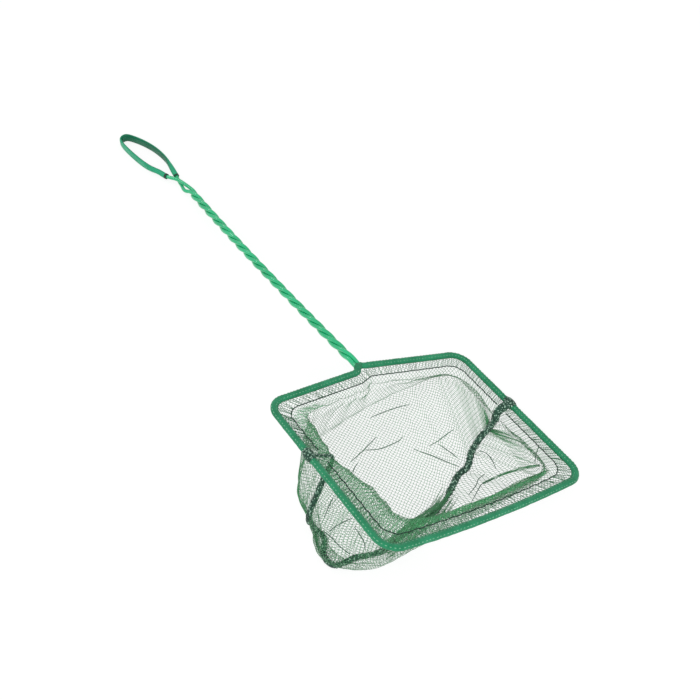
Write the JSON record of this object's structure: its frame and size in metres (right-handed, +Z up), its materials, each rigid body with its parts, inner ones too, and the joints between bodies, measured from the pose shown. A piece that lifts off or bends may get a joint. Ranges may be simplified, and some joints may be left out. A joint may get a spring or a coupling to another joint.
{
  "type": "aquarium fish net",
  "caption": "Small hand net for a fish tank: rectangular wire hoop with a fine green mesh bag, a twisted wire handle and a soft hanging loop.",
  "frame": {"origin": "on the table under the middle of the whole net's box", "axes": "+Z up, +Y along the handle toward the hanging loop, +X toward the side of the hoop that lies lowest"},
  "size_m": [0.1577, 0.4389, 0.0547],
  "materials": {
    "steel_wire": "drawn, bare inside its coat",
    "green_coat": "glossy soft plastic coat",
    "loop_sleeve": "satin soft tube, slightly see-through",
    "rim_tape": "woven tape folded round the wire",
    "netting": "fine knitted mesh, mostly open",
    "dark_seam": "rolled and overlocked layers of mesh",
    "hem_thread": "dark thread and doubled edge",
    "rim_thread": "pale running stitch"
  },
  "bodies": {
    "root": {"hoop_wire_core": "steel_wire", "hoop_wire_coating": "green_coat", "stiffener_core": "steel_wire", "stiffener_coating": "green_coat", "hang_loop_sleeve": "loop_sleeve", "rim_tape_back_left": "rim_tape", "rim_tape_back_right": "rim_tape", "rim_tape_front": "rim_tape", "bag_panel_back": "netting", "bag_panel_front": "netting", "bag_seam": "dark_seam", "seam_wrap_left": "dark_seam", "seam_wrap_right": "dark_seam", "hem_stitch_back": "hem_thread", "hem_stitch_front": "hem_thread", "rim_stitch": "rim_thread"}
  },
  "joints": []
}
